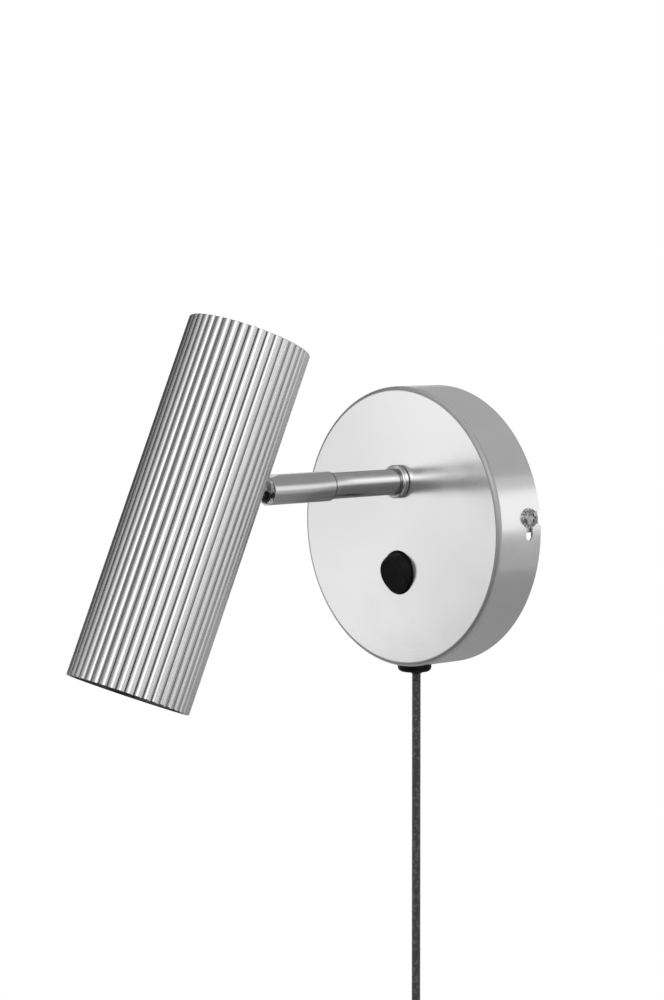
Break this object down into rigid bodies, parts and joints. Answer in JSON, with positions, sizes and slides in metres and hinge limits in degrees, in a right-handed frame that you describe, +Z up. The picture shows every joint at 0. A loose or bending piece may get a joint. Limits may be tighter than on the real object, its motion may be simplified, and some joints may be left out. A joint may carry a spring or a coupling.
{
  "type": "tube wall light",
  "caption": "Reeded metal tube shade on a swivelling arm from a round wall canopy, with a rocking push button on the canopy and a hanging textile cord with a plug.",
  "frame": {"origin": "middle of the wall bracket's back face, on the wall and on the canopy's axis", "axes": "+Z up, +Y into the wall, so the light stands out towards -Y, and +X to the right seen from the room"},
  "size_m": [0.1248, 0.1903, 0.4194],
  "materials": {
    "satin_steel": "fine satin",
    "shade_steel": "reeded, semi-bright satin",
    "knuckle_steel": "satin",
    "screw_steel": "plain",
    "zinc": "zinc plated sheet",
    "black_plastic": "matt",
    "button_black": "matt with a soft edge",
    "white_plastic": "matt",
    "cap_black": "matt black",
    "contact_brass": "plain",
    "plug_pin_metal": "nickel plated",
    "wire_cover": "smooth",
    "cord_cover": "braided textile",
    "lampholder_ceramic": "unglazed",
    "lamp_reflector": "smooth",
    "lamp_glass": "frosted"
  },
  "bodies": {
    "mount": {"wall_bracket": "zinc", "side_screws": "screw_steel", "lock_washers": "screw_steel", "canopy_cover": "satin_steel", "cord_gland": "black_plastic", "gland_nut": "black_plastic", "cord_inlet": "cord_cover", "clamp_base": "white_plastic", "cord_clamp": "white_plastic", "clamp_screws": "screw_steel", "terminal_block": "white_plastic", "terminal_screws": "screw_steel", "block_nut": "screw_steel", "core_wires": "wire_cover", "switch_housing": "black_plastic", "switch_nuts": "screw_steel", "switch_terminals": "contact_brass", "arm_collar": "satin_steel", "arm_tube": "satin_steel", "arm_washer": "screw_steel", "arm_nut": "screw_steel", "friction_washer": "white_plastic", "retaining_ring": "screw_steel", "cord": "cord_cover", "cord_coil": "cord_cover", "cord_tie": "black_plastic", "plug_body": "black_plastic", "plug_pins": "plug_pin_metal"},
    "swivel": {"arm_sleeve": "satin_steel", "arm_knuckle": "knuckle_steel", "knuckle_grommet": "black_plastic", "knuckle_lead": "wire_cover", "pivot_screw": "knuckle_steel", "pivot_washer": "white_plastic"},
    "head": {"shade_knuckle": "knuckle_steel", "shade_tube": "shade_steel", "shade_cap": "cap_black", "lead_bush": "black_plastic", "stud_washer": "screw_steel", "stud_nut": "screw_steel", "lampholder_bracket": "zinc", "bracket_screws": "screw_steel", "lampholder": "lampholder_ceramic", "lamp_leads": "wire_cover", "lamp_body": "lamp_reflector", "lamp_lens": "lamp_glass", "lamp_pins": "screw_steel"},
    "button": {"switch_button": "button_black", "contact_bridge": "contact_brass"}
  },
  "joints": [
    {"name": "arm_swivel", "type": "hinge", "parent": "mount", "child": "swivel", "pos_m": [0, -0.0803, 0.0194], "axis": [0, -1, 0], "range_deg": [-170, 170]},
    {"name": "shade_tilt", "type": "hinge", "parent": "swivel", "child": "head", "pos_m": [0.00018, -0.1028, 0.02179], "axis": [0.9973, 0, -0.0732], "range_deg": [-65, 59.5]},
    {"name": "switch_rock", "type": "hinge", "parent": "mount", "child": "button", "pos_m": [0, -0.024, -0.0196], "axis": [1, 0, 0], "range_deg": [-32, 0]}
  ]
}
